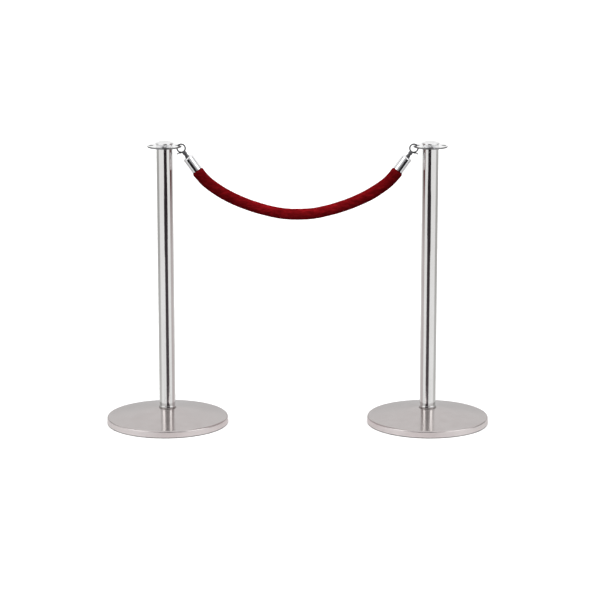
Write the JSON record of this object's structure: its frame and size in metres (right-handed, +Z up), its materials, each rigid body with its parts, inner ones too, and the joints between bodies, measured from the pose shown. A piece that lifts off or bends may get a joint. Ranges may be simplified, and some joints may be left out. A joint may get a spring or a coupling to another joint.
{
  "type": "rope barrier stanchion pair",
  "caption": "Polished metal barrier posts on round domed bases, linked by a red velvet rope that ends in chrome ferrules and snap hooks.",
  "frame": {"origin": "on the floor, midway between the axes of the posts", "axes": "+X from the left-hand post to the right-hand post, +Z up, +Y to the back; the rope hangs in the plane Y = 0"},
  "size_m": [1.2, 0.38, 0.8985],
  "materials": {
    "polished_steel": "polished stainless steel",
    "chrome_fitting": "bright chrome plate",
    "hook_nickel": "nickel plate, slightly satin",
    "machined_steel": "zinc plated, satin",
    "cast_weight": "painted casting",
    "rubber_ring": "matt",
    "turned_wood": "raw",
    "red_velvet": "short pile velvet",
    "cotton_core": "soft cotton"
  },
  "bodies": {
    "posts": {"base_cover_left": "polished_steel", "base_weight_left": "cast_weight", "floor_ring_left": "rubber_ring", "foot_collar_left": "polished_steel", "tube_left": "polished_steel", "tube_foot_plug_left": "machined_steel", "base_bolt_left": "machined_steel", "base_washer_left": "machined_steel", "tube_head_plug_left": "machined_steel", "crown_plate_left": "polished_steel", "crown_stud_left": "machined_steel", "crown_cap_left": "polished_steel", "base_cover_right": "polished_steel", "base_weight_right": "cast_weight", "floor_ring_right": "rubber_ring", "foot_collar_right": "polished_steel", "tube_right": "polished_steel", "tube_foot_plug_right": "machined_steel", "base_bolt_right": "machined_steel", "base_washer_right": "machined_steel", "tube_head_plug_right": "machined_steel", "crown_plate_right": "polished_steel", "crown_stud_right": "machined_steel", "crown_cap_right": "polished_steel"},
    "rope": {"rope_sheath": "red_velvet", "rope_core": "cotton_core", "ferrule_left": "chrome_fitting", "ferrule_screws_left": "machined_steel", "rope_end_plug_left": "turned_wood", "swivel_washer_left": "machined_steel", "ferrule_right": "chrome_fitting", "ferrule_screws_right": "machined_steel", "rope_end_plug_right": "turned_wood", "swivel_washer_right": "machined_steel"},
    "hook_left": {"hook_left": "hook_nickel", "gate_pin_left": "machined_steel", "gate_spring_left": "machined_steel"},
    "gate_left": {"gate_left": "hook_nickel"},
    "hook_right": {"hook_right": "hook_nickel", "gate_pin_right": "machined_steel", "gate_spring_right": "machined_steel"},
    "gate_right": {"gate_right": "hook_nickel"}
  },
  "joints": [
    {"name": "rope_swing", "type": "hinge", "parent": "posts", "child": "rope", "pos_m": [0, 0, 0.8845], "axis": [1, 0, 0], "range_deg": [-30, 30]},
    {"name": "hook_swivel_left", "type": "hinge", "parent": "rope", "child": "hook_left", "pos_m": [-0.35854, 0, 0.87441], "axis": [0.5719, 0, -0.8203], "range_deg": [-10, 10]},
    {"name": "gate_open_left", "type": "hinge", "parent": "hook_left", "child": "gate_left", "pos_m": [-0.36164, 0, 0.86096], "axis": [0, 1, 0], "range_deg": [0, 35], "stiffness_Nm_per_rad": 0.03, "springref_deg": -28.65},
    {"name": "hook_swivel_right", "type": "hinge", "parent": "rope", "child": "hook_right", "pos_m": [0.35854, 0, 0.87441], "axis": [-0.5719, 0, -0.8203], "range_deg": [-10, 10]},
    {"name": "gate_open_right", "type": "hinge", "parent": "hook_right", "child": "gate_right", "pos_m": [0.36164, 0, 0.86096], "axis": [0, -1, 0], "range_deg": [0, 35], "stiffness_Nm_per_rad": 0.03, "springref_deg": -28.65}
  ]
}
